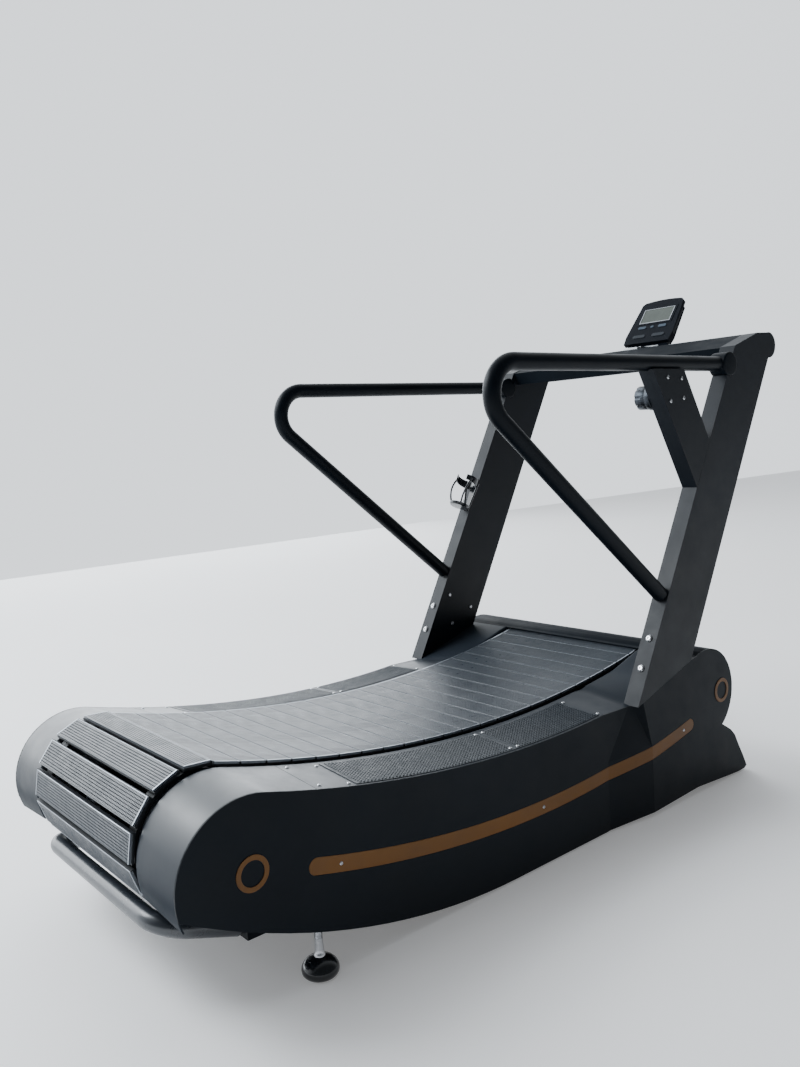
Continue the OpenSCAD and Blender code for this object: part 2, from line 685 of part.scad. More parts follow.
module cover_screws() color(steel) placed() both_sides() {
  for (p = [[385, seam_y + 18], [276, seam_y + 18], [390, -492], [390, -44], [390, -20], [390, 267]])
    on_step(p.y) translate([p.x, 0, abs(p.y + 32) < 16 ? 2.65 : 0.12]) button(4.5, 2.2);
  side_button(cover_half_width - 0.3, -534, stripe_z(-534), 4, 1.5);
  side_button(cover_half_width - 0.3, 39, stripe_z(39), 4, 1.5);
  side_button(flare_half_width - 0.3, 570, stripe_z(570), 4, 1.5);
}
function stripe_z(y) = stripe_c.y - sqrt(stripe_r * stripe_r - pow(y - stripe_c.x, 2));

// ---- mirrored and numbered parts ----

module rail_right() rail();
module rail_left() mirror([1, 0, 0]) rail();
module side_cover_right() side_cover();
module side_cover_left() mirror([1, 0, 0]) side_cover();
module rear_wrap_right() rear_wrap();
module rear_wrap_left() mirror([1, 0, 0]) rear_wrap();
module step_plate_right() step_plate();
module step_plate_left() mirror([1, 0, 0]) step_plate();
module step_pads_right() step_pads();
module step_pads_left() mirror([1, 0, 0]) step_pads();
module accent_stripe_right() accent_stripe();
module accent_stripe_left() mirror([1, 0, 0]) accent_stripe();
module transport_wheel_right() transport_wheel();
module transport_wheel_left() mirror([1, 0, 0]) transport_wheel();
module levelling_foot_right() levelling_foot();
module levelling_foot_left() mirror([1, 0, 0]) levelling_foot();

rail_left();
rail_right();
cross_members();
rear_shaft();
rear_pulleys();
front_shaft();
front_pulleys();
flywheel();
bearing_housings();
guide_roller(1);  // guide_roller_1
guide_roller(2);  // guide_roller_2
guide_roller(3);  // guide_roller_3
guide_roller(4);  // guide_roller_4
guide_roller(5);  // guide_roller_5
drive_belts();
slat_bars();
slat_treads();
brake_arm();
side_cover_left();
side_cover_right();
rear_wrap_left();
rear_wrap_right();
step_plate_left();
step_plate_right();
step_pads_left();
step_pads_right();
front_shroud();
accent_stripe_left();
accent_stripe_right();
trim_rings();
upright_left();
upright_right();
brace_arm();
crossbeam();
handrail_left();
handrail_right();
console_housing();
console_bezel();
console_lens();
key(0);  // key_mode
key(1);  // key_set
key(2);  // key_reset
key(3);  // key_low_left
key(4);  // key_low_right
console_bracket();
bottle_cage();
resistance_housing();
resistance_knob();
transport_bar();
transport_wheel_left();
transport_wheel_right();
wheel_brackets();
levelling_foot_left();
levelling_foot_right();
foot_nuts();
front_feet();
frame_bolts();
cover_screws();
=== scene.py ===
"""Looks for the curved manual treadmill: materials, rounded and textured pieces, light and camera.

Lengths in this file are millimetres in the same layout as the CAD source, whose forward
axis is moved by Y_ORIGIN so that the whole object is centred; place() turns them into metres.
"""

import json
import math

import bmesh
import bpy
from mathutils import Matrix, Vector


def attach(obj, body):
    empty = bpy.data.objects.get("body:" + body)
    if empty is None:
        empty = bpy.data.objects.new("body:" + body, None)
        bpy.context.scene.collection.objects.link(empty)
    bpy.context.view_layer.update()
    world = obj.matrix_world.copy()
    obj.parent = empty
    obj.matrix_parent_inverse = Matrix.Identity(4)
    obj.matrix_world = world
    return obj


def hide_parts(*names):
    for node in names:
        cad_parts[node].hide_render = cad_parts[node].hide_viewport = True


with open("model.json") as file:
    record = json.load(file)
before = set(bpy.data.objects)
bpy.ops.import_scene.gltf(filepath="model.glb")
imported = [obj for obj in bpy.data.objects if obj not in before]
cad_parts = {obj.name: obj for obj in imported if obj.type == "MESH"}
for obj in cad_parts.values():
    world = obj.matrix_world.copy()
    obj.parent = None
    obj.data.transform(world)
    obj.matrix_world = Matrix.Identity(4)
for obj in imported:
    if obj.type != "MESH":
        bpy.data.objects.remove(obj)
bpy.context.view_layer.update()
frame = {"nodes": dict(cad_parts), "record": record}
NODES = frame["nodes"]
Y_ORIGIN = 162.0


def place(x, y, z):
    """A point of the CAD layout, in metres."""
    return Vector((x / 1000.0, (y - Y_ORIGIN) / 1000.0, z / 1000.0))


# ---------------------------------------------------------------- camera


def make_camera():
    """The photograph's viewpoint: behind the runner's right, a little above the handrails."""
    data = bpy.data.cameras.new("camera")
    data.sensor_fit = "HORIZONTAL"
    data.sensor_width = 36.0
    data.lens = 41.25
    data.clip_end = 60.0
    right = Vector((0.64341692, 0.76326921, -0.05860701))
    down = Vector((0.04094105, -0.11075926, -0.99300363))
    ahead = Vector((-0.76442036, 0.63651591, -0.10251343))
    turn = Matrix((right, -down, -ahead)).transposed().to_4x4()
    cam = bpy.data.objects.new("camera", data)
    cam.matrix_world = Matrix.Translation(place(1778, -1484, 1000)) @ turn
    bpy.context.collection.objects.link(cam)
    bpy.context.scene.camera = cam


# ---------------------------------------------------------------- materials


class Shader:
    """A small node-tree writer round one Principled BSDF."""

    def __init__(self, name, rough, metal=0.0, specular=0.5, coat=0.0, coat_rough=0.1):
        self.mat = bpy.data.materials.new(name)
        self.mat.use_nodes = True
        self.nodes = self.mat.node_tree.nodes
        self.links = self.mat.node_tree.links
        self.bsdf = self.nodes["Principled BSDF"]
        self.bsdf.inputs["Roughness"].default_value = rough
        self.bsdf.inputs["Metallic"].default_value = metal
        self.bsdf.inputs["Specular IOR Level"].default_value = specular
        self.bsdf.inputs["Coat Weight"].default_value = coat
        self.bsdf.inputs["Coat Roughness"].default_value = coat_rough
        self.coord = self.nodes.new("ShaderNodeTexCoord")
        self.normal = None

    def noise(self, scale, detail=3.0, rough=0.5, stretch=(1, 1, 1)):
        mapping = self.nodes.new("ShaderNodeMapping")
        mapping.inputs["Scale"].default_value = stretch
        self.links.new(self.coord.outputs["Object"], mapping.inputs["Vector"])
        tex = self.nodes.new("ShaderNodeTexNoise")
        tex.inputs["Scale"].default_value = scale
        tex.inputs["Detail"].default_value = detail
        tex.inputs["Roughness"].default_value = rough
        self.links.new(mapping.outputs["Vector"], tex.inputs["Vector"])
        return tex.outputs["Fac"]

    def ramp(self, value, stops):
        node = self.nodes.new("ShaderNodeValToRGB")
        items = node.color_ramp.elements
        while len(items) < len(stops):
            items.new(0.5)
        for item, (where, colour) in zip(items, stops):
            item.position = where
            item.color = (*colour, 1.0)
        self.links.new(value, node.inputs["Fac"])
        return node.outputs["Color"]

    def colour(self, value, dark, light, worn=None, reach=0.0012):
        """Base colour from dark to light over value, with edges rubbed to the worn colour."""
        base = self.ramp(value, [(0.3, dark), (0.7, light)])
        if worn is None:
            self.links.new(base, self.bsdf.inputs["Base Color"])
            return
        mix = self.nodes.new("ShaderNodeMix")
        mix.data_type = "RGBA"
        mix.inputs["B"].default_value = (*worn, 1.0)
        self.links.new(self.worn_edges(reach), mix.inputs["Factor"])
        self.links.new(base, mix.inputs["A"])
        self.links.new(mix.outputs["Result"], self.bsdf.inputs["Base Color"])

    def worn_edges(self, reach):
        """0 on flats, up to 1 in broken patches along edges: rounded normal against true normal."""
        soft = self.nodes.new("ShaderNodeBevel")
        soft.samples = 4
        soft.inputs["Radius"].default_value = reach
        geometry = self.nodes.new("ShaderNodeNewGeometry")
        dot = self.nodes.new("ShaderNodeVectorMath")
        dot.operation = "DOT_PRODUCT"
        self.links.new(soft.outputs["Normal"], dot.inputs[0])
        self.links.new(geometry.outputs["Normal"], dot.inputs[1])
        edge = self.nodes.new("ShaderNodeMapRange")
        edge.inputs["From Min"].default_value = 0.995
        edge.inputs["From Max"].default_value = 0.90
        self.links.new(dot.outputs["Value"], edge.inputs["Value"])
        patchy = self.nodes.new("ShaderNodeMapRange")
        patchy.inputs["From Min"].default_value = 0.42
        patchy.inputs["From Max"].default_value = 0.62
        self.links.new(self.noise(55.0, 4.0, 0.7), patchy.inputs["Value"])
        both = self.nodes.new("ShaderNodeMath")
        both.operation = "MULTIPLY"
        self.links.new(edge.outputs["Result"], both.inputs[0])
        self.links.new(patchy.outputs["Result"], both.inputs[1])
        return both.outputs["Value"]

    def gloss(self, full, *painted_shade_falls):
        """Painted shade: gloss that dims across the machine by world position, where the scene lies in
        shade; each fall is (axis, from, to, value from, value to).
        """
        where = self.nodes.new("ShaderNodeNewGeometry")
        split = self.nodes.new("ShaderNodeSeparateXYZ")
        self.links.new(where.outputs["Position"], split.inputs["Vector"])
        total = None
        for axis, start, end, first, last in painted_shade_falls:
            node = self.nodes.new("ShaderNodeMapRange")
            node.interpolation_type = "SMOOTHSTEP"
            node.inputs["From Min"].default_value = start
            node.inputs["From Max"].default_value = end
            node.inputs["To Min"].default_value = first * (full if total is None else 1.0)
            node.inputs["To Max"].default_value = last * (full if total is None else 1.0)
            self.links.new(split.outputs[axis], node.inputs["Value"])
            if total is None:
                total = node.outputs["Result"]
                continue
            times = self.nodes.new("ShaderNodeMath")
            times.operation = "MULTIPLY"
            self.links.new(total, times.inputs[0])
            self.links.new(node.outputs["Result"], times.inputs[1])
            total = times.outputs["Value"]
        self.links.new(total, self.bsdf.inputs["Specular IOR Level"])

    def roughness(self, value, low, high):
        node = self.nodes.new("ShaderNodeMapRange")
        node.inputs["From Min"].default_value = 0.3
        node.inputs["From Max"].default_value = 0.7
        node.inputs["To Min"].default_value = low
        node.inputs["To Max"].default_value = high
        self.links.new(value, node.inputs["Value"])
        self.links.new(node.outputs["Result"], self.bsdf.inputs["Roughness"])

    def bump(self, value, strength, depth):
        node = self.nodes.new("ShaderNodeBump")
        node.inputs["Strength"].default_value = strength
        node.inputs["Distance"].default_value = depth
        self.links.new(value, node.inputs["Height"])
        if self.normal is not None:
            self.links.new(self.normal, node.inputs["Normal"])
        self.normal = node.outputs["Normal"]
        self.links.new(self.normal, self.bsdf.inputs["Normal"])


def scaled(colour, k):
    return tuple(c * k for c in colour)


def coated(name, colour, rough, metal=0.0, grain=500.0, grain_depth=0.00002, coat=0.0, spread=0.25,
           specular=0.5, wear=0.035, sheen_painted_shade=None):
    """Powder-coated or moulded surface: faint mottling, smudged gloss, rubbed edges, fine grain, with an
    optional painted shade that dims the gloss by world position.
    """
    s = Shader(name, rough, metal=metal, coat=coat, specular=specular)
    broad = s.noise(3.5, 4.0, 0.6)
    s.colour(broad, scaled(colour, 1 - spread), scaled(colour, 1 + spread),
             worn=tuple(0.55 * c + wear for c in colour))
    s.roughness(s.noise(14.0, 5.0, 0.65), rough - 0.05, rough + 0.07)
    s.bump(s.noise(grain, 2.0, 0.6), 0.12, grain_depth)
    # painted shade: the gloss dims by world position where the machine lies in shade
    if sheen_painted_shade:
        s.gloss(specular, *sheen_painted_shade)
    return s.mat


def brushed(name, colour, rough, stretch=(1, 60, 60), metal=1.0, spread=0.12):
    """Metal with fine lines along X."""
    s = Shader(name, rough, metal=metal)
    lines = s.noise(30.0, 4.0, 0.7, stretch=stretch)
    s.colour(lines, scaled(colour, 1 - spread), scaled(colour, 1 + spread), worn=scaled(colour, 1.35))
    s.roughness(lines, rough - 0.06, rough + 0.1)
    s.bump(lines, 0.2, 0.00003)
    return s.mat


def rubber(name, colour, rough=0.62, dust=0.35, specular=0.4, sheen_painted_shade=None):
    """Matte rubber with patches of pale dust, scuffed edges and a fine pebble, with an optional painted
    shade that dims the gloss by world position.
    """
    s = Shader(name, rough, specular=specular)
    patches = s.noise(9.0, 6.0, 0.7)
    s.colour(patches, colour, scaled(colour, 1 + dust), worn=tuple(c * 1.5 + 0.012 for c in colour))
    s.roughness(s.noise(40.0, 4.0), rough - 0.08, rough + 0.12)
    s.bump(s.noise(1500.0, 2.0), 0.4, 0.00006)
    # painted shade: the gloss dims by world position where the machine lies in shade
    if sheen_painted_shade:
        s.gloss(specular, *sheen_painted_shade)
    return s.mat


def lcd(name):
    """Reflective liquid-crystal glass: grey-green with a faint cloud."""
    s = Shader(name, 0.22, coat=0.1, coat_rough=0.05)
    s.colour(s.noise(22.0, 3.0), (0.040, 0.052, 0.042), (0.054, 0.068, 0.056))
    s.bump(s.noise(60.0, 2.0), 0.05, 0.00002)
    return s.mat


MATERIALS = {
    "frame_paint": coated("paint_black", (0.0028, 0.005, 0.008), 0.38, specular=0.10),
    "upright_paint": coated("paint_upright", (0.0035, 0.006, 0.010), 0.44, specular=0.24),
    "cover_plastic": coated("moulded_cover", (0.003, 0.006, 0.010), 0.45, specular=0.12),
    # satin_sheet: painted shade, its sheen dimmed towards the bottom, the front and the near side
    "satin_sheet": coated("satin_sheet", (0.018, 0.023, 0.030), 0.36, spread=0.15, specular=0.66,
                          sheen_painted_shade=(("Z", 0.24, 0.39, 0.02, 1.0), ("Y", -0.3, 0.45, 1.0, 0.05),
                                ("X", -0.25, 0.25, 1.0, 0.72))),
    "hood_paint": coated("hood_paint", (0.006, 0.009, 0.013), 0.5, specular=0.025),
    "bar_paint": coated("bar_paint", (0.018, 0.023, 0.030), 0.28, specular=0.85),
    # tread_rubber: painted shade, its sheen dimmed on the underside and towards the front
    "tread_rubber": rubber("tread_rubber", (0.045, 0.053, 0.063), 0.34, specular=0.8,
                           sheen_painted_shade=(("Z", 0.22, 0.33, 0.1, 1.0), ("Y", -0.2, 0.45, 1.0, 0.05))),
    # near-black deck rubber between the studs: painted shade in the grooves
    "tread_groove_shade": rubber("tread_groove_shade", (0.005, 0.006, 0.008), 0.8, specular=0.2),
    # pad_rubber: painted shade, its sheen dimmed towards the front
    "pad_rubber": rubber("pad_rubber", (0.022, 0.027, 0.033), 0.42, specular=0.5,
                         sheen_painted_shade=(("Y", -0.45, 0.2, 1.0, 0.1),)),
    "belt_rubber": rubber("belt_rubber", (0.006, 0.007, 0.009), dust=0.6),
    "slat_aluminium": brushed("slat_aluminium", (0.34, 0.37, 0.41), 0.36),
    # near-black colour on the aluminium slat bars: painted shade at the tread ends and in the gaps
    "slat_dark": coated("slat_painted_shade", (0.008, 0.010, 0.013), 0.5, specular=0.25),
    "bright_steel": brushed("bright_steel", (0.55, 0.56, 0.58), 0.24),
    "knob_metal": brushed("knob_metal", (0.038, 0.043, 0.050), 0.34, stretch=(1, 40, 40)),
    "iron": brushed("turned_iron", (0.16, 0.16, 0.17), 0.4, stretch=(60, 60, 60)),
    "gold_trim": coated("gold_trim", (0.15, 0.058, 0.005), 0.45, specular=0.3),
    "console_plastic": coated("console_plastic", (0.003, 0.005, 0.009), 0.42, specular=0.06),
    "gloss_black": coated("gloss_black", (0.005, 0.007, 0.010), 0.20, grain=200.0,
                          grain_depth=0.00001, coat=0.3),
    "bezel_chrome": brushed("bezel_metal", (0.50, 0.52, 0.55), 0.24),
    "display": lcd("display"),
    "key_plastic": coated("key_plastic", (0.050, 0.075, 0.105), 0.35, specular=0.2),
    "grey_key": coated("grey_key", (0.022, 0.028, 0.036), 0.4, specular=0.15),
}


# ---------------------------------------------------------------- mesh helpers


def add_mesh(name, bm, material, smooth=True, body="frame", replaces=()):
    """Turns a bmesh in metres into a piece riding on a body."""
    data = bpy.data.meshes.new(name)
    bmesh.ops.recalc_face_normals(bm, faces=bm.faces)
    bm.to_mesh(data)
    bm.free()
    obj = bpy.data.objects.new(name, data)
    bpy.context.collection.objects.link(obj)
    data.materials.append(MATERIALS[material])
    if smooth:
        for poly in data.polygons:
            poly.use_smooth = True
        data.set_sharp_from_angle(angle=math.radians(40))
    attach(obj, body)
    if replaces:
        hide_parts(*replaces)
    return obj


def bevel(obj, width, segments=2, angle=35):
    """Rounds the hard edges of a piece."""
    weld = obj.modifiers.new("weld", "WELD")
    weld.merge_threshold = 0.000002
    mod = obj.modifiers.new("round", "BEVEL")
    mod.width = width
    mod.segments = segments
    mod.limit_method = "ANGLE"
    mod.angle_limit = math.radians(angle)
    mod.harden_normals = True
    mod.use_clamp_overlap = True


def tube(bm, points, radius, sides=32, closed=False, caps=True):
    """Sweeps a circle along points (metres), keeping the ring from twisting."""
    count = len(points)
    rings = []
    tangent = (points[1] - points[0]).normalized()
    side = tangent.orthogonal().normalized()
    for i, point in enumerate(points):
        if closed:
            ahead = (points[(i + 1) % count] - points[i - 1]).normalized()
        else:
            ahead = (points[min(i + 1, count - 1)] - points[max(i - 1, 0)]).normalized()
        side = (side - ahead * side.dot(ahead)).normalized()
        across = ahead.cross(side)
        rings.append([
            bm.verts.new(point + radius * (math.cos(a) * side + math.sin(a) * across))
            for a in (2 * math.pi * k / sides for k in range(sides))
        ])
    for i in range(count if closed else count - 1):
        a, b = rings[i], rings[(i + 1) % count]
        for k in range(sides):
            bm.faces.new((a[k], a[(k + 1) % sides], b[(k + 1) % sides], b[k]))
    if caps and not closed:
        bm.faces.new(rings[0])
        bm.faces.new(rings[-1])


def arc(centre, radius, start, end, steps, at):
    """Points on a circle; at(a, b) turns plane coordinates into a point."""
    out = []
    for k in range(steps + 1):
        a = math.radians(start + (end - start) * k / steps)
        out.append(at(centre[0] + radius * math.cos(a), centre[1] + radius * math.sin(a)))
    return out


def lathe(bm, profile, origin, axis, sides=64):
    """Turns (radius, height) pairs in metres round an axis through origin."""
    axis = Vector(axis).normalized()
    side = axis.orthogonal().normalized()
    across = axis.cross(side)
    rings = []
    for radius, height in profile:
        if radius < 1e-7:
            rings.append([bm.verts.new(origin + axis * height)])
            continue
        rings.append([
            bm.verts.new(origin + axis * height + radius * (math.cos(a) * side + math.sin(a) * across))
            for a in (2 * math.pi * k / sides for k in range(sides))
        ])
    for a, b in zip(rings, rings[1:]):
        for k in range(sides):
            n = (k + 1) % sides
            if len(a) == 1 and len(b) == 1:
                continue
            if len(a) == 1:
                bm.faces.new((a[0], b[n], b[k]))
            elif len(b) == 1:
                bm.faces.new((a[k], a[n], b[0]))
            else:
                bm.faces.new((a[k], a[n], b[n], b[k]))


def rounded(profile, radius, steps=5):
    """Softens the corners of an open (radius, height) profile."""
    out = [Vector(profile[0])]
    for before, corner, after in zip(profile, profile[1:], profile[2:]):
        before, corner, after = Vector(before), Vector(corner), Vector(after)
        a = (before - corner)
        b = (after - corner)
        reach = min(radius, a.length * 0.45, b.length * 0.45)
        p, q = corner + a.normalized() * reach, corner + b.normalized() * reach
        for k in range(steps + 1):
            t = k / steps
            out.append(p.lerp(corner, t).lerp(corner.lerp(q, t), t))
    out.append(Vector(profile[-1]))
    return [(v.x, v.y) for v in out]


# ---------------------------------------------------------------- the running belt


class Belt:
    """The closed path of the belt: two runs and two drums, as in the CAD source."""

    REAR, FRONT = Vector((-737, 281)), Vector((680, 268))
    REAR_R, FRONT_R, TOP_R, RETURN_R = 140, 110, 2800, 2980
    HEIGHT, COUNT, PHASE = 17.0, 59, 32.0

    def __init__(self):
        self.r_rear, self.r_front = self.REAR_R - self.HEIGHT, self.FRONT_R - self.HEIGHT
        self.r_top, self.r_return = self.TOP_R + self.HEIGHT, self.RETURN_R - self.HEIGHT
        self.top = self.meet(self.r_top + self.r_rear, self.r_top + self.r_front)
        self.under = self.meet(self.r_return - self.r_rear, self.r_return - self.r_front)
        self.a_t0, self.a_t1 = self.heading(self.top, self.REAR), self.heading(self.top, self.FRONT)
        self.a_b0 = self.heading(self.under, self.FRONT)
        self.a_b1 = self.heading(self.under, self.REAR)
        self.lengths = [
            self.r_top * (self.a_t1 - self.a_t0),
            self.r_front * (self.a_t1 + math.pi - self.a_b0),
            self.r_return * (self.a_b0 - self.a_b1),
            self.r_rear * (math.pi - self.a_t0 + self.a_b1),
        ]
        self.pitch = sum(self.lengths) / self.COUNT

    def meet(self, a, b):
        """The upper point at distance a from the rear drum's centre and b from the front one's."""
        d = (self.FRONT - self.REAR).length
        u = (self.FRONT - self.REAR) / d
        m = (a * a - b * b + d * d) / (2 * d)
        return self.REAR + m * u + math.sqrt(a * a - m * m) * Vector((-u.y, u.x))

    @staticmethod
    def heading(p, q):
        """Angle of the line from p to q."""
        return math.atan2(q.y - p.y, q.x - p.x)

    def at(self, s):
        """(forward, up, outward angle) on the pitch line at distance s."""
        s %= sum(self.lengths)
        top, front, under, _ = self.lengths
        if s < top:
            a = self.a_t0 + s / self.r_top
            centre, radius, out = self.top, self.r_top, a + math.pi
        elif s < top + front:
            a = self.a_t1 + math.pi - (s - top) / self.r_front
            centre, radius, out = self.FRONT, self.r_front, a
        elif s < top + front + under:
            a = self.a_b0 - (s - top - front) / self.r_return
            centre, radius, out = self.under, self.r_return, a
        else:
            a = self.a_b1 - (s - top - front - under) / self.r_rear
            centre, radius, out = self.REAR, self.r_rear, a
        return centre.x + radius * math.cos(a), centre.y + radius * math.sin(a), out

    def matrix(self, i):
        """Where slat i sits, with local Z pointing away from the belt."""
        y, z, out = self.at(i * self.pitch + self.PHASE)
        return Matrix.Translation(place(0, y, z)) @ Matrix.Rotation(out - math.pi / 2, 4, "X")


CORNERS = ((-1, -1), (1, -1), (1, 1), (-1, 1))


def stud(bm, foot, crest):
    """A raised block from four corners at its foot and four at its crest."""
    foot = [bm.verts.new(point) for point in foot]
    crest = [bm.verts.new(point) for point in crest]
    for k in range(4):
        n = (k + 1) % 4
        bm.faces.new((foot[k], foot[n], crest[n], crest[k]))
    bm.faces.new(crest)


def tread_mesh():
    """One tread: a chamfered slab with a grid of square studs, painted shade on the near-black deck between
    them, and rubbed metal edges, on local Z.
    """
    bm = bmesh.new()
    half, w, low, deck, top = 0.243, 0.0275, 0.0121, 0.0157, 0.0170
    # material 1, the deck between the studs, is near-black: painted shade in the grooves
    groove, metal, end_strip = 1, 2, 0.0028
    section = [(-w, low), (w, low), (w, top - 0.0006), (w - 0.0006, top), (w - 0.0014, top),
               (w - 0.0016, deck), (0.0016 - w, deck), (0.0014 - w, top), (0.0006 - w, top),
               (-w, top - 0.0006)]
    rings = [[bm.verts.new((x, u, v)) for u, v in section] for x in (-half, half)]
    count = len(section)
    for k in range(count):
        n = (k + 1) % count
        face = bm.faces.new((rings[0][k], rings[0][n], rings[1][n], rings[1][k]))
        face.material_index = groove if k == 5 else metal if k in (1, 2, 3) else 0
    for ring in rings:
        bm.faces.new(ring).material_index = metal
    for x in (-half, half):
        inner = x - math.copysign(end_strip, x)
        corners = [(x, -w), (x, w), (inner, w), (inner, -w)]
        strip = [bm.verts.new((a, b, top + 0.0002)) for a, b in corners]
        skirt = [bm.verts.new((a, b, deck - 0.0005)) for a, b in corners]
        bm.faces.new(strip).material_index = metal
        for k in range(4):
            n = (k + 1) % 4
            bm.faces.new((skirt[k], skirt[n], strip[n], strip[k])).material_index = metal
    pitch, foot, crest, along, across = 0.0058, 0.00230, 0.00205, 83, 9
    for i in range(along):
        for j in range(across):
            x, u = (i - along // 2) * pitch, (j - across // 2) * pitch
            stud(bm, [(x + a * foot, u + b * foot, deck) for a, b in CORNERS],
                 [(x + a * crest, u + b * crest, top) for a, b in CORNERS])
    bmesh.ops.recalc_face_normals(bm, faces=bm.faces)
    data = bpy.data.meshes.new("tread")
    bm.to_mesh(data)
    bm.free()
    data.materials.append(MATERIALS["tread_rubber"])
    data.materials.append(MATERIALS["tread_groove_shade"])
    data.materials.append(MATERIALS["slat_aluminium"])
    return data


def make_treads():
    """One tread on every slat of the belt, all sharing a mesh."""
    belt = Belt()
    data = tread_mesh()
    for i in range(belt.COUNT):
        obj = bpy.data.objects.new(f"tread_{i + 1:02d}", data)
        obj.matrix_world = belt.matrix(i)
        bpy.context.collection.objects.link(obj)
        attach(obj, "frame")
        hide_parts("slat_treads")


# ---------------------------------------------------------------- step surface


# Centre of the concave run and the radii of its step surface and of the treads' tops.
TOP_C = Vector((59.45013644, 3111.06487208))
STEP_R, TREAD_R = 2817.0, 2800.0
# Rounded rear end of the covers, and where its arc meets the concave run.
ROUND_C, ROUND_R = Vector((-727.0, 255.5)), 145.0
ROUND_END = -688.0
# Where the concave run ends, and the two bends of the cover's top ahead of it.
RUN_END, BEND_LOW, BEND_HIGH = 270.0, (373.0, 299.5), (615.0, 373.0)
# The rear wrap meets the step plate at SEAM; the plate meets the front shroud at SHROUD.
SEAM, SHROUD, SEAM_GAP = -575.0, 632.0, 0.6
# Inner and outer edges of the plates across the machine.
PLATE_OUT, PLATE_WIDE = 402.7, 146.7
WRAP_FROM, WRAP_TO, WRAP_STEPS = 203.0, 74.5, 60


def step_profile(y):
    """Height of the step surface at its outer edge."""
    if y < ROUND_END:
        return ROUND_C.y + math.sqrt(max(0.0, ROUND_R ** 2 - (y - ROUND_C.x) ** 2))
    if y < RUN_END:
        return TOP_C.y - math.sqrt(STEP_R ** 2 - (y - TOP_C.x) ** 2)
    if y < BEND_LOW[0]:
        return 302 - (y - RUN_END) * 0.025
    if y < BEND_HIGH[0]:
        slope = (BEND_HIGH[1] - BEND_LOW[1]) / (BEND_HIGH[0] - BEND_LOW[0])
        return BEND_LOW[1] + (y - BEND_LOW[0]) * slope
    return BEND_HIGH[1] + (y - BEND_HIGH[0]) * 14 / 73


def crown(x, y):
    """How far the plate rises towards the belt; past the concave run it follows the treads' tops."""
    rise, most, below_treads = 10.0, 18.0, 7
    if y > RUN_END:
        treads = TOP_C.y - math.sqrt(TREAD_R ** 2 - (y - TOP_C.x) ** 2)
        rise = min(most, max(0.0, treads - below_treads - step_profile(y)))
    return rise * (PLATE_OUT - x) / PLATE_WIDE


def sheet(name, side, stations, material, replaces):
    """Thin bent plate swept along stations of (y, z, inward y, inward z), its inner edge folded down."""
    section = [(x, 0) for x in (PLATE_OUT, 370, 340, 310, 280, 262)]
    section += [(258.5, 0.1), (256.2, 0.9), (254.4, 2.4), (253.2, 4.6), (252.6, 7.5), (252.5, 24)]
    section += [(254.5, 24), (254.7, 8), (256.2, 5), (259, 3.2), (262, 3), (PLATE_OUT, 3)]
    bm = bmesh.new()
    rings = []
    for y, z, ny, nz in stations:
        rings.append([bm.verts.new(place(side * x, y + v * ny, z + v * nz + crown(x, y)))
                      for x, v in section])
    count = len(section)
    for a, b in zip(rings, rings[1:]):
        for k in range(count):
            n = (k + 1) % count
            bm.faces.new((a[k], a[n], b[n], b[k]))
    bm.faces.new(rings[0])
    bm.faces.new(rings[-1])
    return add_mesh(name, bm, material, replaces=replaces)


def station(y):
    """A point of the step surface and the direction into the cover."""
    slope = step_profile(y + 0.5) - step_profile(y - 0.5)
    scale = math.hypot(1, slope)
    return y, step_profile(y), slope / scale, -1 / scale


def make_plates(side, name):
    """The wrap round the rear end and the step plate ahead of it."""
    wrap = []
    for k in range(WRAP_STEPS):
        a = math.radians(WRAP_FROM + (WRAP_TO - WRAP_FROM) * k / (WRAP_STEPS - 1))
        out = Vector((math.cos(a), math.sin(a)))
        wrap.append((*(ROUND_C + ROUND_R * out), -out.x, -out.y))
    first, last = ROUND_END + 2, SEAM - SEAM_GAP
    wrap += [station(first + (last - first) * k / 11) for k in range(12)]
    sheet(f"wrap_{name}", side, wrap, "satin_sheet", (f"rear_wrap_{name}",))
    first, last = SEAM + SEAM_GAP, SHROUD - 1 + SEAM_GAP
    plate = [station(first + (last - first) * k / 110) for k in range(111)]
    sheet(f"plate_{name}", side, plate, "satin_sheet", (f"step_plate_{name}",))


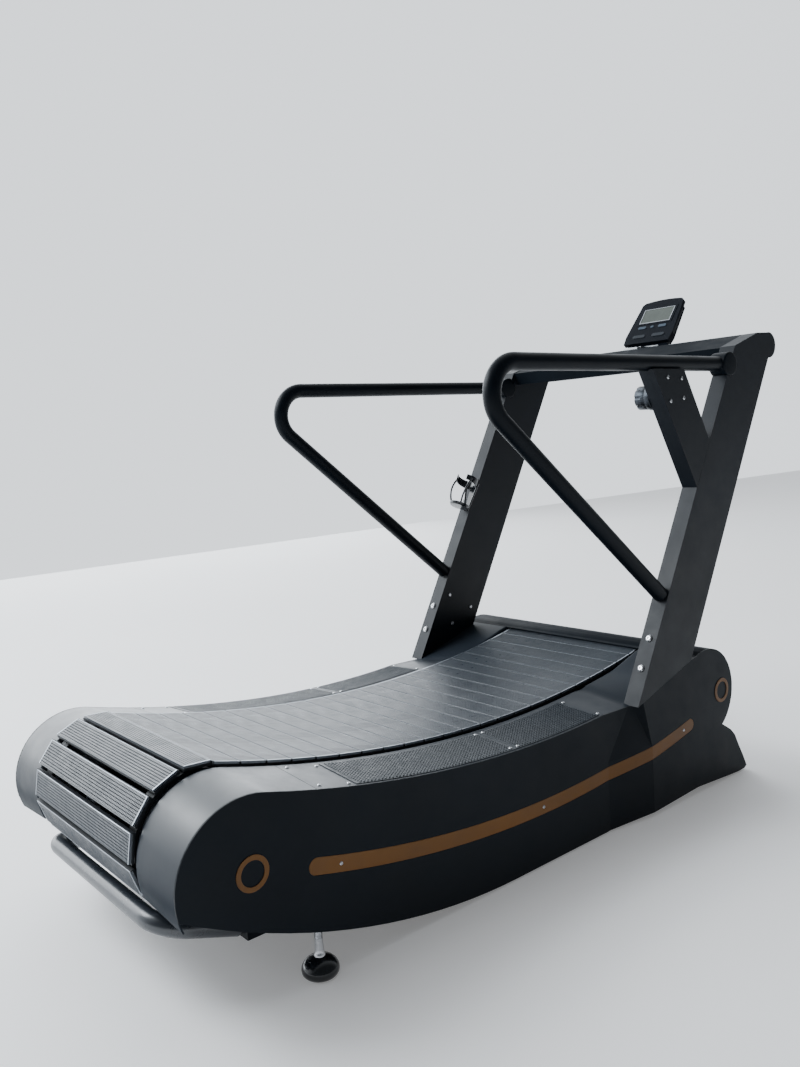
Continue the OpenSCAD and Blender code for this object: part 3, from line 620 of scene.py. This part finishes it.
def make_pads(side, name):
    """Two rubber mats with rows of raised blocks across them."""
    bm = bmesh.new()

    def at(x, y, v):
        _, z, ny, nz = station(y)
        return place(side * x, y - v * ny, z - v * nz + crown(x, y))

    inner, outer, deck, top, steps, pitch = 272, 398, 1.4, 3.0, 48, 9
    for y0, y1 in ((-480, -33), (-31, 262)):
        for k in range(steps):
            a, b = y0 + (y1 - y0) * k / steps, y0 + (y1 - y0) * (k + 1) / steps
            for x0, x1 in ((inner, 300), (300, 330), (330, 360), (360, outer)):
                bm.faces.new([bm.verts.new(at(x, y, deck)) for x, y in
                              ((x0, a), (x1, a), (x1, b), (x0, b))])
        loop = [(inner, y0), (outer, y0), (outer, y1), (inner, y1)]
        for k in range(4):
            (xa, ya), (xb, yb) = loop[k], loop[(k + 1) % 4]
            for j in range(steps):
                p, q = j / steps, (j + 1) / steps
                m = (xa + (xb - xa) * p, ya + (yb - ya) * p)
                n = (xa + (xb - xa) * q, ya + (yb - ya) * q)
                bm.faces.new([bm.verts.new(at(*m, deck)), bm.verts.new(at(*n, deck)),
                              bm.verts.new(at(*n, 0)), bm.verts.new(at(*m, 0))])
        rows = int((y1 - y0 - 8) / pitch)
        edge = (y1 - y0 - rows * pitch) / 2
        for j in range(rows):
            yc = y0 + edge + (j + 0.5) * pitch
            for i in range(17):
                xc = (inner + outer) / 2 + (i - 8) * 7.1
                stud(bm, [at(xc + a * 2.9, yc + b * 2.4, deck) for a, b in CORNERS],
                     [at(xc + a * 2.3, yc + b * 1.7, top) for a, b in CORNERS])
    bmesh.ops.remove_doubles(bm, verts=bm.verts, dist=0.00001)
    add_mesh(f"mats_{name}", bm, "pad_rubber", smooth=False,
             replaces=(f"step_pads_{name}",))


def make_screws():
    """Button-head screws of the plates, mats and stripes."""
    profile = [(0, 0.0006), (0.0016, 0.0006), (0.0018, 0.0021), (0.0027, 0.0021), (0.0040, 0.0012),
               (0.0045, 0.0002), (0.0045, -0.0004)]
    bm = bmesh.new()
    for side in (-1, 1):
        for x, y in ((385, SEAM + 18), (276, SEAM + 18), (390, -492), (282, -492), (390, -44),
                     (280, -44), (390, -20), (280, -20), (390, 267), (282, 267)):
            _, z, ny, nz = station(y)
            lift = 1.5 if y in (-44, -20) else 0.0  # these stand on the mats
            lathe(bm, profile, place(side * x, y - lift * ny, z - lift * nz + crown(x, y)),
                  (0.068 * side, -ny, -nz), sides=20)
        for x, y in ((406.7, -534), (406.7, 39), (431.7, 570)):
            z = 2721 - math.sqrt(2580 ** 2 - (y - 55) ** 2)
            small = [(r * 0.9, h * 0.9) for r, h in profile]
            lathe(bm, small, place(side * x, y, z), (side, 0, 0), sides=20)
    add_mesh("small_screws", bm, "bright_steel", replaces=("cover_screws",))


# ---------------------------------------------------------------- handrails and carrying bar


LEAN = 0.545  # how far the uprights lean forward for each millimetre of height


def upright_rear(z):
    """Where the rear face of the uprights is at height z."""
    return 383 + LEAN * (z - 315)


def make_handrail(side, name):
    """Bent tube with its round end boss."""

    def at(y, z):
        return place(side * 409.5, y, z)

    down = math.radians(39.6)
    top, bend, bend_end, reach = 1152, 72.0, 230.4, 724.0
    corner = (2.0, top - bend)
    path = [at(824 - k * (822 / 24), top) for k in range(24)]
    path += arc(corner, bend, 90, bend_end, 28, at)
    start = (corner[0] + bend * math.cos(math.radians(bend_end)),
             corner[1] + bend * math.sin(math.radians(bend_end)))
    path += [at(start[0] + reach * k / 20 * math.cos(down), start[1] - reach * k / 20 * math.sin(down))
             for k in range(1, 21)]
    bm = bmesh.new()
    tube(bm, path, 0.020, sides=40)
    cut = bmesh.ops.bisect_plane(
        bm, geom=bm.verts[:] + bm.edges[:] + bm.faces[:], plane_co=at(383, 315),
        plane_no=Vector((0, 1, -LEAN)), clear_outer=True)
    rim = [e for e in cut["geom_cut"] if isinstance(e, bmesh.types.BMEdge)]
    bmesh.ops.holes_fill(bm, edges=rim, sides=0)
    profile = rounded([(0, -0.0245), (0.033, -0.0245), (0.033, 0.0245), (0, 0.0245)], 0.005)
    lathe(bm, profile, at(upright_rear(1150), 1150), (1, 0, 0))
    add_mesh(f"rail_tube_{name}", bm, "frame_paint", replaces=(f"handrail_{name}",))


def make_transport_bar():
    """Carrying bar across the rear, with its two swept corners."""
    tilt = math.radians(20)
    out, bend = 275, 60
    straight = out - bend
    leg = 155 / math.cos(tilt)

    def at(x, u):
        return place(x, -845 + u * math.cos(tilt), 153 - u * math.sin(tilt))

    def corner(side, a):
        return at(side * (straight + bend * math.cos(math.radians(a))),
                  bend - bend * math.sin(math.radians(a)))

    path = [at(-out, leg - 2 - k * (leg - 2 - bend) / 8) for k in range(8)]
    path += [corner(-1, a) for a in range(0, 91, 5)]
    path += [at(-straight + 2 * straight * k / 24, 0) for k in range(1, 24)]
    path += [corner(1, a) for a in range(90, -1, -5)]
    path += [at(out, bend + k * (leg - 2 - bend) / 8) for k in range(1, 9)]
    bm = bmesh.new()
    tube(bm, path, 0.019, sides=40)
    add_mesh("carrying_bar", bm, "bar_paint", replaces=("transport_bar",))


# ---------------------------------------------------------------- levelling feet


def make_foot(side, name):
    """Rubber dome on a round pad with a turned steel stem."""
    origin = place(side * 385, -583, 0)
    bm = bmesh.new()
    dome = [(0, 0), (0.027, 0), (0.0325, 0.0025), (0.0358, 0.007), (0.0368, 0.0125), (0.0358, 0.0185),
            (0.0325, 0.0245), (0.0270, 0.0300), (0.0195, 0.0345), (0.0135, 0.0370), (0.0115, 0.0385),
            (0, 0.0386)]
    lathe(bm, dome, origin, (0, 0, 1))
    add_mesh(f"foot_pad_{name}", bm, "gloss_black", body=f"foot_{name}",
             replaces=(f"levelling_foot_{name}",))
    bm = bmesh.new()
    stem = [(0, 0.034), (0.0108, 0.034), (0.0112, 0.041), (0.0098, 0.043), (0.0090, 0.052), (0.0078, 0.071)]
    z = 0.072
    while z < 0.157:
        stem += [(0.0079, z + 0.0004), (0.0070, z + 0.0010), (0.0079, z + 0.0016)]
        z += 0.002
    stem += [(0.0072, 0.159), (0, 0.160)]
    lathe(bm, stem, origin, (0, 0, 1), sides=40)
    add_mesh(f"foot_stem_{name}", bm, "bright_steel", body=f"foot_{name}",
             replaces=(f"levelling_foot_{name}",))


# ---------------------------------------------------------------- bottle cage


def make_bottle_cage():
    """Moulded cage: an open hoop, curved side arms with stays, a cupped floor and a back plate."""
    turn = (Matrix.Translation(place(-398, upright_rear(800), 800))
            @ Matrix.Rotation(-math.atan(LEAN), 4, "X"))

    def at(x, y, z):
        return turn @ Vector((x / 1000, y / 1000, z / 1000))

    bm = bmesh.new()
    band = []
    for k in range(41):
        a = math.radians(38 + 284 * k / 40)
        front = 0.5 - 0.5 * math.cos(a - math.radians(20))
        low, high = 30 - 12 * front, 47 - 3 * front
        x, y = math.sin(a), -math.cos(a)
        band.append([bm.verts.new(at(r * x, -39 + r * y, z)) for r, z in
                     ((35.5, low), (36, (low + high) / 2), (35.5, high), (33, high), (32.6, low))])
    for a, b in zip(band, band[1:]):
        for k in range(5):
            n = (k + 1) % 5
            bm.faces.new((a[k], a[n], b[n], b[k]))
    bm.faces.new(band[0])
    bm.faces.new(band[-1])
    for side in (-1, 1):
        bow = [at(side * (33 + 5 * math.sin(t * math.pi) - 12 * t),
                  -52 - 17 * math.sin(t * 2.6) + 6 * t, 40 - 94 * t)
               for t in (k / 24 for k in range(25))]
        tube(bm, bow, 0.0031, sides=16)
        stay = [at(side * (28 - 18 * t), -14 + 8 * t, 36 - 88 * t) for t in (k / 12 for k in range(13))]
        tube(bm, stay, 0.0036, sides=16)
    origin = at(0, -39, -58)
    axis = (at(0, -39, 0) - origin).normalized()
    cup = rounded([(0, 0), (0.030, 0), (0.0345, 0.009), (0.0325, 0.0095), (0.028, 0.0035),
                   (0, 0.0035)], 0.002)
    lathe(bm, cup, origin, axis)
    section = [(-10, -6), (10, -6), (10, -0.2), (-10, -0.2)]
    rings = [[bm.verts.new(at(x, y, z)) for x, y in section] for z in (-57, 57)]
    for k in range(4):
        n = (k + 1) % 4
        bm.faces.new((rings[0][k], rings[0][n], rings[1][n], rings[1][k]))
    bm.faces.new(rings[0])
    bm.faces.new(rings[1])
    add_mesh("cage", bm, "gloss_black", replaces=("bottle_cage",))


# ---------------------------------------------------------------- console


CONSOLE = Matrix.Translation(place(0, 1067, 1257)) @ Matrix.Rotation(math.radians(51.1), 4, "X")


def on_console(x, y, z):
    """A point in the console's own frame, whose Z stands out of its face."""
    return CONSOLE @ Vector((x / 1000, y / 1000, z / 1000))


def prism(bm, outline, z0, z1):
    """Straight-sided solid on the console face."""
    low = [bm.verts.new(on_console(x, y, z0)) for x, y in outline]
    high = [bm.verts.new(on_console(x, y, z1)) for x, y in outline]
    count = len(outline)
    for k in range(count):
        n = (k + 1) % count
        bm.faces.new((low[k], low[n], high[n], high[k]))
    bm.faces.new(low)
    bm.faces.new(high)


def make_console_trim():
    """Moulded tray at the console's lower edge, its chrome spring clip and the display's thin frame."""
    bm = bmesh.new()
    tray = [(-74, -24), (74, -24), (80, -16), (80, 2), (74, 8), (-74, 8), (-80, 2), (-80, -16)]
    prism(bm, tray, -26.0, -13.0)
    piece = add_mesh("console_tray", bm, "console_plastic", smooth=False, body="frame")
    bevel(piece, 0.002)
    bm = bmesh.new()
    outline = [(-8, -16), (46, -16), (49, -13), (49, -3), (46, 0), (-8, 0), (-11, -3), (-11, -13)]
    prism(bm, outline, -13.0, -10.5)
    prism(bm, [(-9, -4.5), (47, -4.5), (47, -1.5), (-9, -1.5)], -10.5, -8.5)
    add_mesh("console_clip", bm, "bright_steel", smooth=False, body="frame")
    bm = bmesh.new()
    for x0, x1, y0, y1 in ((-57, 57, 92, 94), (-57, 57, 150.6, 152), (-57, -55, 94, 150.6),
                           (55, 57, 94, 150.6)):
        prism(bm, [(x0, y0), (x1, y0), (x1, y1), (x0, y1)], 0.1, 1.25)
    add_mesh("display_frame", bm, "bezel_chrome", smooth=False, body="console")


# ---------------------------------------------------------------- carried-over CAD nodes


SPECIAL = {
    "upright_left": "upright_paint",
    "upright_right": "upright_paint",
    "brace_arm": "upright_paint",
    "crossbeam": "hood_paint",
    "front_shroud": "hood_paint",
    # painted shade: the aluminium slat bars get the near-black colour
    "slat_bars": "slat_dark",
    "console_bezel": "console_plastic",
    "resistance_housing": "knob_metal",
    "resistance_knob": "knob_metal",
    "key_low_left": "grey_key",
    "key_low_right": "grey_key",
}
ROUNDED = {
    "upright_left": 0.0022,
    "upright_right": 0.0022,
    "brace_arm": 0.0022,
    "crossbeam": 0.0022,
    "side_cover_left": 0.0015,
    "side_cover_right": 0.0015,
    "front_shroud": 0.0010,
    "console_housing": 0.0018,
    "console_bezel": 0.0005,
    "console_lens": 0.0002,
    "key_mode": 0.0006,
    "key_set": 0.0006,
    "key_reset": 0.0006,
    "key_low_left": 0.0006,
    "key_low_right": 0.0006,
    "resistance_knob": 0.0012,
    "resistance_housing": 0.0015,
    "console_bracket": 0.0006,
}


def dress_nodes():
    """Gives every carried-over node its material and, where it shows, rounded edges."""
    slots = {s["node"]: s["material_slot"] for s in frame["record"]["subparts"]}
    for name, obj in NODES.items():
        material = MATERIALS[SPECIAL.get(name, slots[name])]
        obj.data.materials.clear()
        obj.data.materials.append(material)
        if name in ROUNDED:
            bevel(obj, ROUNDED[name])


# ---------------------------------------------------------------- light and floor


DAYLIGHT = (0.90, 0.955, 1.0)


def area(name, at, aim, size, power):
    """Cool daylight from a soft rectangle."""
    data = bpy.data.lights.new(name, "AREA")
    data.shape = "RECTANGLE"
    data.size, data.size_y = size
    data.energy = power
    data.color = DAYLIGHT
    obj = bpy.data.objects.new(name, data)
    obj.location = at
    obj.rotation_euler = (Vector(aim) - Vector(at)).to_track_quat("-Z", "Y").to_euler()
    obj.visible_camera = False
    bpy.context.collection.objects.link(obj)


def make_studio():
    """Pale room, brighter to the left and behind the machine, as in the photograph."""
    world = bpy.data.worlds.new("studio")
    world.use_nodes = True
    nodes, links = world.node_tree.nodes, world.node_tree.links
    back = nodes["Background"]
    coord = nodes.new("ShaderNodeTexCoord")
    lean = nodes.new("ShaderNodeVectorMath")
    lean.operation = "DOT_PRODUCT"
    lean.inputs[1].default_value = (-1.0, 0.12, 0.1)
    shade = nodes.new("ShaderNodeMapRange")
    shade.interpolation_type = "SMOOTHSTEP"
    shade.inputs["From Min"].default_value = -0.35
    shade.inputs["From Max"].default_value = 0.65
    shade.inputs["To Min"].default_value = 0.13
    shade.inputs["To Max"].default_value = 1.6
    links.new(coord.outputs["Generated"], lean.inputs[0])
    links.new(lean.outputs["Value"], shade.inputs["Value"])
    links.new(shade.outputs["Result"], back.inputs["Strength"])
    back.inputs["Color"].default_value = (0.90, 0.95, 1.0, 1.0)
    bpy.context.scene.world = world
    area("key", (-2.3, -2.6, 3.4), (0.1, -0.5, 0.4), (2.4, 2.0), 170)
    area("window", (-6.5, -0.2, 3.2), (0, -0.2, 1.6), (11.4, 5.8), 820)
    bm = bmesh.new()
    bmesh.ops.create_grid(bm, x_segments=1, y_segments=1, size=30.0)
    bmesh.ops.translate(bm, verts=bm.verts, vec=(23.6, 0.0, 0.0))
    data = bpy.data.meshes.new("floor")
    bm.to_mesh(data)
    bm.free()
    floor = bpy.data.objects.new("floor", data)
    bpy.context.collection.objects.link(floor)
    s = Shader("floor_pale", 0.9)
    s.colour(s.noise(0.8, 3.0), (0.92, 0.92, 0.93), (0.95, 0.95, 0.955))
    s.bsdf.inputs["Emission Color"].default_value = (1.0, 1.0, 1.0, 1.0)
    s.bsdf.inputs["Emission Strength"].default_value = 0.18
    data.materials.append(s.mat)


make_camera()
make_treads()
for SIDE, NAME in ((1, "right"), (-1, "left")):
    make_plates(SIDE, NAME)
    make_pads(SIDE, NAME)
make_screws()
for SIDE, NAME in ((1, "right"), (-1, "left")):
    make_handrail(SIDE, NAME)
make_transport_bar()
for SIDE, NAME in ((1, "right"), (-1, "left")):
    make_foot(SIDE, NAME)
make_bottle_cage()
make_console_trim()
dress_nodes()
make_studio()
